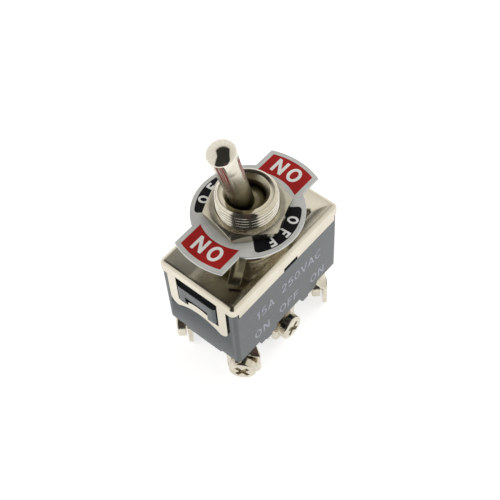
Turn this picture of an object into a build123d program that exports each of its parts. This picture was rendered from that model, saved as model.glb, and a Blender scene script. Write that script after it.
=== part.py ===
from build123d import *
import math
import os

# Heavy-duty double-pole toggle switch with a threaded bushing and six screw terminals.
# Millimetres. Origin on the bushing axis, level with the cover's top face. +Z runs up along
# the bushing, X along the long side (the lever swings in XZ), Y across the two poles.
# The lever is modelled thrown over to the -X "ON" side.

# ---- folded steel cover ----
COVER_L = 31.6              # over the outer faces of the end tabs
COVER_W = 18.8              # over the outer faces of the long skirts
SHEET = 0.8
BEND_R = 1.05
CORNER_R = 1.2              # closed, drawn corners
CORNER_DEPTH = 2.3
SKIRT_DEPTH = 3.75
SKIRT_STEP = 1.5            # the deep part of a long skirt stops this far short of the ends
SKIRT_X = COVER_L / 2 - SKIRT_STEP
TAB_SHY = 2.15
TAB_HALF = COVER_W / 2 - TAB_SHY
TAB_DEPTH = 11.8
TAB_CORNER_R = 2.0
TAB_ARCH_HALF = 5.4
TAB_ARCH_RISE = 1.9
WINDOW_HALF = 5.1
WINDOW_TOP = -1.75
WINDOW_BOTTOM = -9.15
TONGUE_HALF = 2.6
TONGUE_TOP = -7.65
TONGUE_CROWN = 0.5
NOTCH_W = 4.0
NOTCH_X = 0.8
NOTCH_RISE = 0.95
PIP_IN_X, PIP_IN_Y = 4.6, 3.8   # locating pip, in from the cover's outer faces
PIP_R, PIP_H = 0.8, 0.25

# ---- pressboard insulator under the cover ----
INSULATOR = 0.4
INSULATOR_CLEAR = 0.3       # to the cover's inner faces
INSULATOR_HOLE_CLEAR = 0.2  # round the swaged end of the bushing

# ---- phenolic housing ----
POST_SHY, SIDE_SHY = 0.4, 0.15  # housing faces in from the cover's tabs and skirts
HOUSING_L, HOUSING_W = COVER_L - 2 * POST_SHY, COVER_W - 2 * SIDE_SHY
HOUSING_TOP = -(SHEET + INSULATOR)
HOUSING_BOTTOM = -19.4
HOUSING_CORNER_R = 0.9
STEP_CLEAR = 0.1            # between the housing's stepped rim and the cover's skirts
STEP_UNDER = 0.35           # shadow line under a skirt
SHOULDER_R = 0.5
RECESS_ROUND = 0.4          # gap round an end tab
RECESS_RAMP = 1.2           # height over which the recess below a tab runs out
WALL_END = 1.6
WALL_SIDE = 1.5
FLOOR_TOP = -15.3
FLOOR_BOTTOM = -17.8
MID_WALL = 1.2
MID_WALL_TOP = -10.6
LUG_GAP = 0.35              # lug to the sides of its window
LUG_TOP_GAP, LUG_BOTTOM_GAP = 1.8, 0.75
LUG_PROUD = 0.4
LUG_NOTCH_GAP, LUG_NOTCH_TOP_GAP = 0.2, 1.55
LUG_ROUND = 0.7
BARRIER_MID = 2.0           # rib between the two rows of terminals
BARRIER_MID_BOTTOM = -22.4
BARRIER_END_SHY = 0.8       # rib ends in from the housing's faces
BARRIER_SIDE_SHY = 0.3
BARRIER_W = 1.6             # ribs between neighbouring terminals
BARRIER_BOTTOM = -22.5
BARRIER_CHAMFER = 0.4
TOOTH_T = 1.0               # lower edge of the walls: deeper between the terminals
TOOTH_FLANK = 0.5
SIDE_TOOTH_X, SIDE_TOOTH_HALF, SIDE_TOOTH_DROP = 6.4, 2.3, 1.4
END_TOOTH_HALF, END_TOOTH_DROP = 4.3, 0.7

# ---- bushing ----
THREAD_R = 5.93
BUSHING_TOP = 11.62
BUSHING_CHAMFER = 0.35
PITCH_IN = 0.23             # pitch line in from the crests
PITCH_R = THREAD_R - PITCH_IN   # thread drawn at its pitch radius where the nuts engage it
COLLAR_R, COLLAR_H = 6.9, 1.0
NECK_R, NECK_CLEAR = 5.35, 0.05
SWAGE_R, SWAGE_H = 6.5, 0.7
MOUTH_R, MOUTH_DEPTH = 4.75, 0.95
LIP_R = 3.95
LOWER_BORE_R = 4.5
PIVOT_Z = 6.1
BALL_R = 4.2
BALL_CLEAR = 0.05

# ---- hardware on the bushing ----
NUT_AF = 14.7
NUT_H = 2.0
NUT_CHAMFER_DROP = 0.65
NUT_TURN = 19.8             # degrees, how the nuts happen to stand when tight
LOWER_NUT_TURN = 41.0
BORE_CLEAR = 0.05
PLATE_TOP = 6.87
PLATE_T = 0.5
PLATE_R = 10.8
PLATE_TAB_R = 15.0
PLATE_TAB_HALF = 5.68
HOLE_CLEAR = 0.12           # washer and plate over the thread
PLATE_HOLE_R = THREAD_R + HOLE_CLEAR
WASHER_T = 0.7
WASHER_R = 8.6
LOWER_NUT_Z = PLATE_TOP - PLATE_T - WASHER_T - NUT_H
KEY_W = 2.5                 # turned-down locating tab of the washer
KEY_TURN = 212.0            # degrees, where the tab leaves the ring
KEY_ROOT_R = 9.9
KEY_LEAN = (-3.0, -0.65, -4.45)   # run of the tab from its root to its end
KEY_T = 0.6
KEY_END_W, KEY_END_R = 2.4, 0.12

# ---- lever ----
LEAN = 13.8                 # degrees either side of the bushing axis
NECK = [(3.4, 1.95), (6.0, 2.02), (12.0, 2.28), (18.0, 2.47), (22.6, 2.71)]   # height, radius
TIP_CROWN = 0.9
STEM_R = 1.9
STEM_END = -15.4
STEM_HEAD_R, STEM_HEAD_H = 2.6, 0.5

# ---- actuator carrier and plungers (heights along the lever from its pivot) ----
CARRIER_TOP, CARRIER_BOTTOM = -9.0, -14.9
CARRIER_HALF_X, CARRIER_HALF_Y = 2.6, 6.5
CARRIER_CHAMFER = 0.5
POLE_Y = 4.3
PLUNGER_R = 1.6
PLUNGER_CLEAR = 0.06
PLUNGER_TOP, PLUNGER_TIP = -11.2, -16.8
POCKET_TOP = -9.8
SPRING_BORE_R, SPRING_BORE_END = 1.0, -15.2
SPRING_R, SPRING_WIRE_R, SPRING_TURNS = 0.72, 0.14, 5
SPRING_SEAT = 0.02

# ---- contact rockers ----
ROCK = 7.0                  # degrees either side of level
FULCRUM_Z = -13.6
FULCRUM_R, FULCRUM_CLEAR = 0.7, 0.05
RIDGE_HALF = 0.55
ROCKER_W, ROCKER_T = 4.2, 0.8
CAM_CLEAR = 0.05            # plunger tip to rocker
CAM_STEPS = 15              # points along the dished middle
ARM_RISE = 0.32             # rocker arms above the ends of the dish
KNEE_RUN = 0.24
SADDLE_HALF, SADDLE_FOOT_HALF, SADDLE_LOW = 1.5, 1.35, -0.21
BUTTON_R, BUTTON_T, BUTTON_CROWN = 1.4, 0.45, 0.25
BUTTON_GAP = 0.06           # left between closed contacts

# ---- terminals ----
LEG_W, LEG_T = 5.0, 0.8
LEG_IN = 0.1                # end legs clear of the end walls
LEG_X = HOUSING_L / 2 - WALL_END - LEG_IN - LEG_W / 2
LEG_SHY = 2.65              # legs in from the housing's sides
LEG_Y = HOUSING_W / 2 - LEG_SHY
BARRIER_SHIFT = 0.2
BARRIER_X = LEG_X / 2 + BARRIER_SHIFT
BUTTON_X = LEG_X - LEG_W / 2
ROCKER_HALF = BUTTON_X + BUTTON_R
SLOT_CLEAR = 0.05
BASE_INNER_Y = 2.4
PAD_HALF = 2.0
FIXED_BUTTON_T = 0.5
PLATE_W = 6.8
TWIST_TOP, TWIST_BOTTOM = -20.0, -22.6
LEG_BOTTOM = -29.2
PLATE_CORNER_R = 2.0
TAPPED_R = 1.5
SCREW_Z = -25.3
SCREW_R, SCREW_H = 2.75, 1.8
SCREW_GAP = 0.5             # under the head, ready for a wire
SHANK_R, SHANK_IN = 1.45, 0.3
SCREW_EDGE_R = 0.5
RECESS_ARM, RECESS_W, RECESS_D = 1.7, 0.9, 0.8
RECESS_TURN = 45.0
TERMINALS = {
    "left_near": (-LEG_X, -LEG_Y),
    "left_middle": (0.0, -LEG_Y),
    "left_far": (LEG_X, -LEG_Y),
    "right_near": (-LEG_X, LEG_Y),
    "right_middle": (0.0, LEG_Y),
    "right_far": (LEG_X, LEG_Y),
}
# way each screw faces, in degrees from +X
SCREW_TURN = {"left_near": 212.0, "left_middle": 270.0, "left_far": 134.0,
              "right_near": 134.0, "right_middle": 90.0, "right_far": 45.0}
# how far each screw plate is joggled from its leg, along its own screw
JOGGLE = {"left_near": 0.9, "left_middle": 0.9, "left_far": -2.2,
          "right_near": 1.3, "right_middle": 0.9, "right_far": 0.9}
BIG = 60.0


def span(x0, x1, y0, y1, z0, z1):
    """Solid block between two corners."""
    return Pos((x0 + x1) / 2, (y0 + y1) / 2, (z0 + z1) / 2) * Box(abs(x1 - x0), abs(y1 - y0), abs(z1 - z0))


def rod(r, z0, z1, x=0.0, y=0.0):
    """Round bar along Z."""
    return Pos(x, y, (z0 + z1) / 2) * Cylinder(r, abs(z1 - z0))


def turned(points):
    """Body of revolution about Z from (radius, z) points."""
    return revolve(make_face(Plane.XZ * Polyline([(r, z) for r, z in points], close=True)), Axis.Z)


def hexagon_bar(af, z0, z1, turn):
    """Hexagonal bar across flats AF."""
    prism = extrude(Plane.XY.offset(z0) * RegularPolygon(af / 2, 6, major_radius=False), z1 - z0)
    return Rot(0, 0, turn - first_corner_angle()) * prism


def first_corner_angle():
    """Angle of the polygon's first corner, so that turns are given to a corner."""
    corner = RegularPolygon(NUT_AF / 2, 6, major_radius=False).vertices()[0]
    return math.degrees(math.atan2(corner.Y, corner.X))


def on_lever(shape):
    """Put a shape drawn on an upright lever (pivot at zero) into its thrown-over pose."""
    return Pos(0, 0, PIVOT_Z) * Rot(0, -LEAN, 0) * shape


def on_rocker(shape, side):
    """Put a shape drawn on a level rocker (pivot at zero) into its tipped pose."""
    return Pos(0, side * POLE_Y, FULCRUM_Z) * Rot(0, ROCK, 0) * shape


def cover_shell(half_x, half_y, top, corner_r, bend_r):
    """Block with round upright corners and a round top edge, as a drawn cover is."""
    block = span(-half_x, half_x, -half_y, half_y, -TAB_DEPTH, top)
    block = fillet(block.edges().filter_by(Axis.Z), corner_r)
    return fillet(block.faces().sort_by(Axis.Z)[-1].edges(), bend_r)


def cover_frame():
    """Drawn top plate with two long skirts and two deep end tabs."""
    outer = cover_shell(COVER_L / 2, COVER_W / 2, 0, CORNER_R, BEND_R)
    body = outer - cover_shell(COVER_L / 2 - SHEET, COVER_W / 2 - SHEET, -SHEET,
                               CORNER_R - SHEET, BEND_R - SHEET)
    body -= span(-SKIRT_X, SKIRT_X, -BIG, BIG, -BIG, -SKIRT_DEPTH)
    end_x = COVER_L / 2 - SHEET - BEND_R
    for sx in (-1, 1):
        for sy in (-1, 1):
            body -= span(sx * SKIRT_X, sx * BIG, sy * TAB_HALF, sy * BIG, -BIG, -CORNER_DEPTH)
            round_y, round_z = sy * (TAB_HALF - TAB_CORNER_R), -TAB_DEPTH + TAB_CORNER_R
            corner = span(sx * end_x, sx * BIG, round_y, sy * TAB_HALF, -TAB_DEPTH, round_z)
            body -= corner - Pos(0, round_y, round_z) * Rot(0, 90, 0) * Cylinder(TAB_CORNER_R, 2 * COVER_L)
        body -= lying_bar(TAB_ARCH_HALF, TAB_ARCH_RISE, -TAB_DEPTH + TAB_ARCH_RISE, sx)
        window = span(sx * end_x, sx * BIG, -WINDOW_HALF, WINDOW_HALF, WINDOW_BOTTOM, WINDOW_TOP)
        tongue = span(sx * end_x, sx * BIG, -TONGUE_HALF, TONGUE_HALF, WINDOW_BOTTOM, TONGUE_TOP)
        body -= window - (tongue & lying_bar(TONGUE_HALF, TONGUE_CROWN, TONGUE_TOP, sx))
        body -= span(NOTCH_X - NOTCH_W / 2, NOTCH_X + NOTCH_W / 2, sx * (COVER_W / 2 - BEND_R), sx * BIG,
                     -SKIRT_DEPTH, -SKIRT_DEPTH + NOTCH_RISE)
    body -= rod(NECK_R + NECK_CLEAR, -BIG, BIG)
    pip_r = (PIP_R ** 2 + PIP_H ** 2) / (2 * PIP_H)
    pip_x, pip_y = COVER_L / 2 - PIP_IN_X, PIP_IN_Y - COVER_W / 2
    pip = Pos(pip_x, pip_y, PIP_H - pip_r) * Sphere(pip_r)
    pip &= rod(PIP_R + PIP_H, -SHEET / 2, PIP_H, pip_x, pip_y)
    return body + pip


def lying_bar(half, rise, crest, sx):
    """Round bar along X through an end tab: its crest is an arch of this half width and rise."""
    r = (half ** 2 + rise ** 2) / (2 * rise)
    return Pos(sx * COVER_L / 2, 0, crest - r) * Rot(0, 90, 0) * Cylinder(r, COVER_L / 2)


def insulator_sheet():
    """Pressboard sheet under the cover, open for the swinging stem."""
    half_x = COVER_L / 2 - SHEET - INSULATOR_CLEAR
    half_y = COVER_W / 2 - SHEET - INSULATOR_CLEAR
    sheet = span(-half_x, half_x, -half_y, half_y, HOUSING_TOP, HOUSING_TOP + INSULATOR)
    return sheet - rod(SWAGE_R + INSULATOR_HOLE_CLEAR, -BIG, BIG)


def housing():
    """Moulded base: open well above, terminal floor, latch lugs, ribs between the terminals."""
    outline = RectangleRounded(HOUSING_L, HOUSING_W, HOUSING_CORNER_R)
    block = extrude(Plane.XY.offset(HOUSING_BOTTOM) * outline, HOUSING_TOP - HOUSING_BOTTOM)
    step_y = COVER_W / 2 - SHEET - STEP_CLEAR
    recess_x = COVER_L / 2 - SHEET - STEP_CLEAR
    neck = RectangleRounded(2 * recess_x, 2 * step_y, SHOULDER_R)
    rim = span(-BIG, BIG, -BIG, BIG, -CORNER_DEPTH - STEP_UNDER, HOUSING_TOP)
    block -= rim - extrude(Plane.XY.offset(HOUSING_BOTTOM) * neck, HOUSING_TOP - HOUSING_BOTTOM)
    for s in (-1, 1):
        block -= span(-SKIRT_X - STEP_CLEAR, SKIRT_X + STEP_CLEAR, s * step_y, s * BIG,
                      -SKIRT_DEPTH - STEP_UNDER, BIG)
        block -= tab_recess(s, recess_x)
    well = span(-HOUSING_L / 2 + WALL_END, HOUSING_L / 2 - WALL_END, -HOUSING_W / 2 + WALL_SIDE,
                HOUSING_W / 2 - WALL_SIDE, FLOOR_TOP, BIG)
    under = span(-HOUSING_L / 2 + WALL_END, HOUSING_L / 2 - WALL_END, -HOUSING_W / 2 + WALL_SIDE,
                 HOUSING_W / 2 - WALL_SIDE, -BIG, FLOOR_BOTTOM)
    block = block - well - under
    block += span(-HOUSING_L / 2 + WALL_END, HOUSING_L / 2 - WALL_END, -MID_WALL / 2, MID_WALL / 2,
                  FLOOR_TOP, MID_WALL_TOP)
    for s in (-1, 1):
        block += lug(s, recess_x)
        block += Rot(0, 0, s * 90) * tooth(0, HOUSING_L / 2, END_TOOTH_HALF, END_TOOTH_DROP)
        for t in (-1, 1):
            turn = Rot(0, 0, 90 + s * 90)
            block += turn * tooth(t * SIDE_TOOTH_X, HOUSING_W / 2, SIDE_TOOTH_HALF, SIDE_TOOTH_DROP)
        rib = span(s * BARRIER_X - BARRIER_W / 2, s * BARRIER_X + BARRIER_W / 2,
                   BARRIER_SIDE_SHY - HOUSING_W / 2, HOUSING_W / 2 - BARRIER_SIDE_SHY,
                   BARRIER_BOTTOM, FLOOR_BOTTOM)
        block += chamfer(rib.faces().sort_by(Axis.Z)[0].edges().filter_by(Axis.X), BARRIER_CHAMFER)
    spine = span(BARRIER_END_SHY - HOUSING_L / 2, HOUSING_L / 2 - BARRIER_END_SHY,
                 -BARRIER_MID / 2, BARRIER_MID / 2, BARRIER_MID_BOTTOM, FLOOR_BOTTOM)
    block += chamfer(spine.faces().sort_by(Axis.Z)[0].edges().filter_by(Axis.Y), BARRIER_CHAMFER)
    for x, y in TERMINALS.values():
        block -= span(x - LEG_W / 2 - SLOT_CLEAR, x + LEG_W / 2 + SLOT_CLEAR, y - LEG_T / 2 - SLOT_CLEAR,
                      y + LEG_T / 2 + SLOT_CLEAR, -BIG, FLOOR_TOP + LEG_T)
    return block


def tab_recess(s, recess_x):
    """Cut that an end tab lies in. Its lower end runs out to the end face on a ramp."""
    foot = -TAB_DEPTH - RECESS_ROUND
    side = Polyline((s * recess_x, 0), (s * recess_x, foot), (s * HOUSING_L / 2, foot - RECESS_RAMP),
                    (s * COVER_L, foot - RECESS_RAMP), (s * COVER_L, 0), close=True)
    return extrude(make_face(Plane.XZ * side), TAB_HALF + RECESS_ROUND, both=True)


def tooth(x, face_y, half, drop):
    """Deeper stretch of a wall's lower edge, with sloping flanks, for the wall on the -Y side."""
    side = Polyline((x - half - TOOTH_FLANK, HOUSING_BOTTOM), (x - half, HOUSING_BOTTOM - drop),
                    (x + half, HOUSING_BOTTOM - drop), (x + half + TOOTH_FLANK, HOUSING_BOTTOM), close=True)
    return extrude(make_face(Plane.XZ.offset(face_y - TOOTH_T) * side), TOOTH_T)


def lug(s, recess_x):
    """Latch lug on an end face, notched for the cover's tongue."""
    face_x = COVER_L / 2 + LUG_PROUD
    half = WINDOW_HALF - LUG_GAP
    outline = span(s * recess_x, s * face_x, -half, half,
                   WINDOW_BOTTOM + LUG_BOTTOM_GAP, WINDOW_TOP - LUG_TOP_GAP)
    uprights = outline.faces().sort_by(Axis.X)[-1 if s > 0 else 0].edges().filter_by(Axis.Z)
    outline = fillet(uprights, LUG_ROUND)
    notch = TONGUE_HALF + LUG_NOTCH_GAP
    return outline - span(s * recess_x, s * BIG, -notch, notch, -BIG, TONGUE_TOP + LUG_NOTCH_TOP_GAP)


def bushing():
    """Turned bushing, its neck swaged over under the cover, with a ball socket inside."""
    socket_r = BALL_R + BALL_CLEAR
    reach = math.sqrt(socket_r ** 2 - LIP_R ** 2)
    foot = -SHEET - SWAGE_H
    nut_top = PLATE_TOP + NUT_H
    outside = turned([
        (0, foot), (SWAGE_R, foot), (SWAGE_R, -SHEET), (NECK_R, -SHEET), (NECK_R, 0), (COLLAR_R, 0),
        (COLLAR_R, COLLAR_H), (THREAD_R, COLLAR_H), (THREAD_R, LOWER_NUT_Z), (PITCH_R, LOWER_NUT_Z),
        (PITCH_R, nut_top), (THREAD_R, nut_top), (THREAD_R, BUSHING_TOP - BUSHING_CHAMFER),
        (THREAD_R - BUSHING_CHAMFER, BUSHING_TOP), (0, BUSHING_TOP)])
    bore = turned([
        (0, foot), (LOWER_BORE_R, foot), (LOWER_BORE_R, 0), (LIP_R, PIVOT_Z - reach),
        (LIP_R, BUSHING_TOP - MOUTH_DEPTH), (MOUTH_R, BUSHING_TOP), (0, BUSHING_TOP)])
    return outside - bore - Pos(0, 0, PIVOT_Z) * Sphere(socket_r)


def hex_nut(z0, turn):
    """Thin hexagon nut, chamfered on both faces."""
    blank = hexagon_bar(NUT_AF, z0, z0 + NUT_H, turn)
    corner_r = NUT_AF / math.sqrt(3)
    face_r = NUT_AF / 2
    envelope = turned([(0, z0), (face_r, z0), (corner_r, z0 + NUT_CHAMFER_DROP),
                       (corner_r, z0 + NUT_H - NUT_CHAMFER_DROP), (face_r, z0 + NUT_H), (0, z0 + NUT_H)])
    return (blank & envelope) - rod(PITCH_R + BORE_CLEAR, z0, z0 + NUT_H)


def locating_washer():
    """Ring washer with one tab turned down towards the cover."""
    top = PLATE_TOP - PLATE_T
    ring = rod(WASHER_R, top - WASHER_T, top) - rod(PLATE_HOLE_R, top - WASHER_T, top)
    way = math.radians(KEY_TURN)
    root = Vector(KEY_ROOT_R * math.cos(way), KEY_ROOT_R * math.sin(way), 0)
    arm = Rot(0, 0, KEY_TURN) * span(0, KEY_ROOT_R, -KEY_W / 2, KEY_W / 2, top - WASHER_T, top)
    arm -= rod((WASHER_R + PLATE_HOLE_R) / 2, top - WASHER_T, top)
    tangent = Vector(-math.sin(way), math.cos(way), 0)
    start = root + Vector(0, 0, top - WASHER_T)
    end = start + Vector(*KEY_LEAN)
    section = Plane(origin=start, x_dir=tangent, z_dir=Vector(0, 0, -1))
    lower = Plane(origin=end, x_dir=tangent, z_dir=Vector(0, 0, -1))
    strip = loft([section * Rectangle(KEY_W, KEY_T), lower * RectangleRounded(KEY_END_W, KEY_T, KEY_END_R)])
    knee = Pos(root.X, root.Y, top - WASHER_T / 2) * Rot(0, 0, KEY_TURN) * Box(KEY_T, KEY_W, WASHER_T)
    return ring + arm + knee + strip


def indicator_plate():
    """Flat aluminium ON-OFF-ON plate: a disc with two wide tabs."""
    disc = Circle(PLATE_R)
    wings = Circle(PLATE_TAB_R) & Rectangle(2 * PLATE_TAB_R, 2 * PLATE_TAB_HALF)
    return extrude(Plane.XY.offset(PLATE_TOP - PLATE_T) * (disc + wings - Circle(PLATE_HOLE_R)), PLATE_T)


def lever():
    """Bat handle, ball and riveted stem in one turned piece."""
    top_h, top_r = NECK[-1]
    sphere_r = (top_r ** 2 + TIP_CROWN ** 2) / (2 * TIP_CROWN)
    side = Spline([Vector(r, 0, h) for h, r in NECK])
    under = Polyline(Vector(NECK[0][1], 0, NECK[0][0]), Vector(0, 0, NECK[0][0]), Vector(0, 0, top_h),
                     Vector(top_r, 0, top_h))
    bat = revolve(make_face(Curve() + [side, under]), Axis.Z)
    crown = Pos(0, 0, top_h + TIP_CROWN - sphere_r) * Sphere(sphere_r)
    crown &= rod(BALL_R, top_h, top_h + 2 * TIP_CROWN)
    stem = rod(STEM_R, STEM_END, 0) + rod(STEM_HEAD_R, STEM_END - STEM_HEAD_H, STEM_END)
    return on_lever(bat + crown + Sphere(BALL_R) + stem)


def actuator_carrier():
    """Nylon block on the stem with a pocket for each plunger."""
    block = span(-CARRIER_HALF_X, CARRIER_HALF_X, -CARRIER_HALF_Y, CARRIER_HALF_Y,
                 CARRIER_BOTTOM, CARRIER_TOP)
    block = chamfer(block.edges().filter_by(Axis.Y), CARRIER_CHAMFER)
    block -= rod(STEM_R + SPRING_SEAT, STEM_END, BIG)
    block -= rod(STEM_HEAD_R + SPRING_SEAT, STEM_END - STEM_HEAD_H, CARRIER_BOTTOM - STEM_HEAD_H)
    for s in (-1, 1):
        block -= rod(PLUNGER_R + PLUNGER_CLEAR, -BIG, POCKET_TOP, y=s * POLE_Y)
    return on_lever(block)


def plunger(s):
    """Hollow nylon plunger with a round nose."""
    body = rod(PLUNGER_R, PLUNGER_TIP, PLUNGER_TOP) + Pos(0, 0, PLUNGER_TIP) * Sphere(PLUNGER_R)
    body -= rod(SPRING_BORE_R, SPRING_BORE_END, PLUNGER_TOP)
    return on_lever(Pos(0, s * POLE_Y, 0) * body)


def plunger_spring(s):
    """Compression spring between the pocket's end and the plunger's bore."""
    low = SPRING_BORE_END + SPRING_WIRE_R + SPRING_SEAT
    high = POCKET_TOP - SPRING_WIRE_R - SPRING_SEAT
    path = Helix((high - low) / SPRING_TURNS, high - low, SPRING_R)
    coil = sweep(Plane(origin=path @ 0, z_dir=path % 0) * Circle(SPRING_WIRE_R), path)
    return on_lever(Pos(0, s * POLE_Y, low) * coil)


def cam_points():
    """Where the plunger's nose runs along the top of a level rocker, from its pivot."""
    points = []
    for i in range(CAM_STEPS):
        lean = math.radians(-LEAN + 2 * LEAN * i / (CAM_STEPS - 1))
        tip = (math.sin(-lean) * -PLUNGER_TIP, PIVOT_Z + PLUNGER_TIP * math.cos(lean) - FULCRUM_Z)
        rock = -lean * ROCK / LEAN
        points.append((tip[0] * math.cos(rock) - tip[1] * math.sin(rock),
                       tip[0] * math.sin(rock) + tip[1] * math.cos(rock)))
    return sorted(points)


def rocker_top():
    """Upper outline of the rocker: level arms and a dished middle under the plunger."""
    drop = PLUNGER_R + CAM_CLEAR
    middle = []
    path = cam_points()
    for i, (x, z) in enumerate(path):
        a, b = path[max(i - 1, 0)], path[min(i + 1, len(path) - 1)]
        slope = math.atan2(b[1] - a[1], b[0] - a[0])
        middle.append((x + drop * math.sin(slope), z - drop * math.cos(slope)))
    return middle, middle[-1][1] + ARM_RISE


def rocker(s):
    """Brass seesaw: dished over its saddle, flat where the contact buttons sit."""
    middle, arm_z = rocker_top()
    knee = middle[-1][0] + ROCKER_T
    top = [(-ROCKER_HALF, arm_z), (-knee, arm_z)] + middle + [(knee, arm_z), (ROCKER_HALF, arm_z)]
    under = arm_z - ROCKER_T
    saddle_z = middle[len(middle) // 2][1] - ROCKER_T
    bottom = [(ROCKER_HALF, under), (knee + KNEE_RUN, under), (SADDLE_HALF, saddle_z),
              (SADDLE_FOOT_HALF, SADDLE_LOW), (-SADDLE_FOOT_HALF, SADDLE_LOW),
              (-SADDLE_HALF, saddle_z), (-knee - KNEE_RUN, under), (-ROCKER_HALF, under)]
    outline = make_face(Polyline(top + bottom, close=True))
    strip = extrude(Plane.XZ.offset(-ROCKER_W / 2) * outline, ROCKER_W)
    saddle = Rot(90, 0, 0) * Cylinder(FULCRUM_R + FULCRUM_CLEAR, 2 * ROCKER_W)
    return on_rocker(strip - saddle, s)


def rocker_buttons(s):
    """Two domed silver contacts riveted under the rocker's arms."""
    under = rocker_top()[1] - ROCKER_T
    dome_r = (BUTTON_R ** 2 + BUTTON_CROWN ** 2) / (2 * BUTTON_CROWN)
    button = rod(BUTTON_R, under - BUTTON_T, under)
    button += Pos(0, 0, under - BUTTON_T - BUTTON_CROWN + dome_r) * Sphere(dome_r) \
        & rod(BUTTON_R, under - BUTTON_T - BUTTON_CROWN, under - BUTTON_T / 2)
    return Compound(children=[on_rocker(Pos(x, 0, 0) * button, s) for x in (-BUTTON_X, BUTTON_X)])


def contact_height():
    """Lowest point of a closed rocker button, in the switch's frame."""
    low = rocker_top()[1] - ROCKER_T - BUTTON_T - BUTTON_CROWN
    rock = math.radians(ROCK)
    return FULCRUM_Z + low * math.cos(rock) - BUTTON_X * math.sin(rock)


def pad_top():
    """Top of an end terminal's contact pad."""
    return contact_height() - BUTTON_GAP - FIXED_BUTTON_T


def fixed_buttons():
    """Flat silver contacts riveted on the end terminals."""
    z = pad_top()
    return Compound(children=[rod(BUTTON_R, z, z + FIXED_BUTTON_T, sx * BUTTON_X, sy * POLE_Y)
                              for sx in (-1, 1) for sy in (-1, 1)])


def plate_place(x, y, turn, joggle):
    """Centre of a terminal's screw plate, joggled from its leg along its screw."""
    way = math.radians(turn)
    return x + joggle * math.cos(way), y + joggle * math.sin(way)


def screw_plate(x, y, turn, joggle):
    """Part of a terminal below the floor: leg, quarter twist and tapped plate."""
    base_turn = math.copysign(90, y)
    twisted = turn != base_turn % 360
    upper = Plane(origin=(x, y, TWIST_TOP), x_dir=(1, 0, 0), z_dir=(0, 0, 1))
    face_dir = Vector(math.cos(math.radians(turn)), math.sin(math.radians(turn)), 0)
    along = Vector(-face_dir.Y, face_dir.X, 0)
    if along.X < 0:
        along = along * -1
    px, py = plate_place(x, y, turn, joggle)
    lower = Plane(origin=(px, py, TWIST_BOTTOM), x_dir=along, z_dir=(0, 0, 1))
    leg = span(x - LEG_W / 2, x + LEG_W / 2, y - LEG_T / 2, y + LEG_T / 2, TWIST_TOP, FLOOR_TOP)
    neck = loft([upper * Rectangle(LEG_W, LEG_T), lower * Rectangle(PLATE_W, LEG_T)], ruled=not twisted)
    mid = Plane(origin=(px, py, (TWIST_BOTTOM + LEG_BOTTOM) / 2), x_dir=along, z_dir=face_dir)
    blade = extrude(mid * RectangleRounded(PLATE_W, TWIST_BOTTOM - LEG_BOTTOM, PLATE_CORNER_R),
                    LEG_T / 2, both=True)
    square = Plane(origin=(px, py, TWIST_BOTTOM - PLATE_CORNER_R / 2), x_dir=along, z_dir=face_dir)
    blade += extrude(square * Rectangle(PLATE_W, PLATE_CORNER_R), LEG_T / 2, both=True)
    bore = Plane(origin=(px, py, SCREW_Z), x_dir=along, z_dir=face_dir)
    return leg + neck + blade - extrude(bore * Circle(TAPPED_R), 2 * LEG_T, both=True)


def common_terminal(x, y, turn, joggle):
    """Middle terminal: its base carries the fulcrum that the rocker tips on."""
    s = math.copysign(1, y)
    top = FLOOR_TOP + LEG_T
    base = span(-LEG_W / 2, LEG_W / 2, s * BASE_INNER_Y, y + s * LEG_T / 2, FLOOR_TOP, top)
    inner_y, outer_y = s * BASE_INNER_Y, y + s * LEG_T / 2
    ridge = span(-RIDGE_HALF, RIDGE_HALF, inner_y, outer_y, top, FULCRUM_Z)
    crest = Pos(0, (inner_y + outer_y) / 2, FULCRUM_Z) * Rot(90, 0, 0)
    crest *= Cylinder(FULCRUM_R, abs(outer_y - inner_y))
    return base + ridge + crest + screw_plate(x, y, turn, joggle)


def end_terminal(x, y, turn, joggle):
    """Outer terminal: leg through the floor, pad bent in under the rocker's button."""
    s, sx = math.copysign(1, y), math.copysign(1, x)
    top = pad_top()
    y0, y1 = s * (POLE_Y - PAD_HALF), y + s * LEG_T / 2
    pad = span(sx * (BUTTON_X - PAD_HALF), x + sx * LEG_W / 2, y0, y1, FLOOR_TOP, top)
    return pad + screw_plate(x, y, turn, joggle)


def terminal_screw(x, y, turn, joggle):
    """Pan-head screw with a cross recess, backed off to take a wire."""
    seat = LEG_T / 2 + SCREW_GAP
    head = rod(SCREW_R, seat, seat + SCREW_H)
    head = fillet(head.edges().sort_by(Axis.Z)[-1], SCREW_EDGE_R)
    for a in (RECESS_TURN, RECESS_TURN + 90):
        head -= Rot(0, 0, a) * span(-RECESS_ARM, RECESS_ARM, -RECESS_W / 2, RECESS_W / 2,
                                    seat + SCREW_H - RECESS_D, BIG)
    screw = head + rod(SHANK_R, -LEG_T / 2 - SHANK_IN, seat)
    px, py = plate_place(x, y, turn, joggle)
    return Pos(px, py, SCREW_Z) * Rot(0, 0, turn) * Rot(0, 90, 0) * screw


def save(name, shape):
    """Write one named piece."""
    export_step(shape, f"parts/{name}.step")


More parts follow.
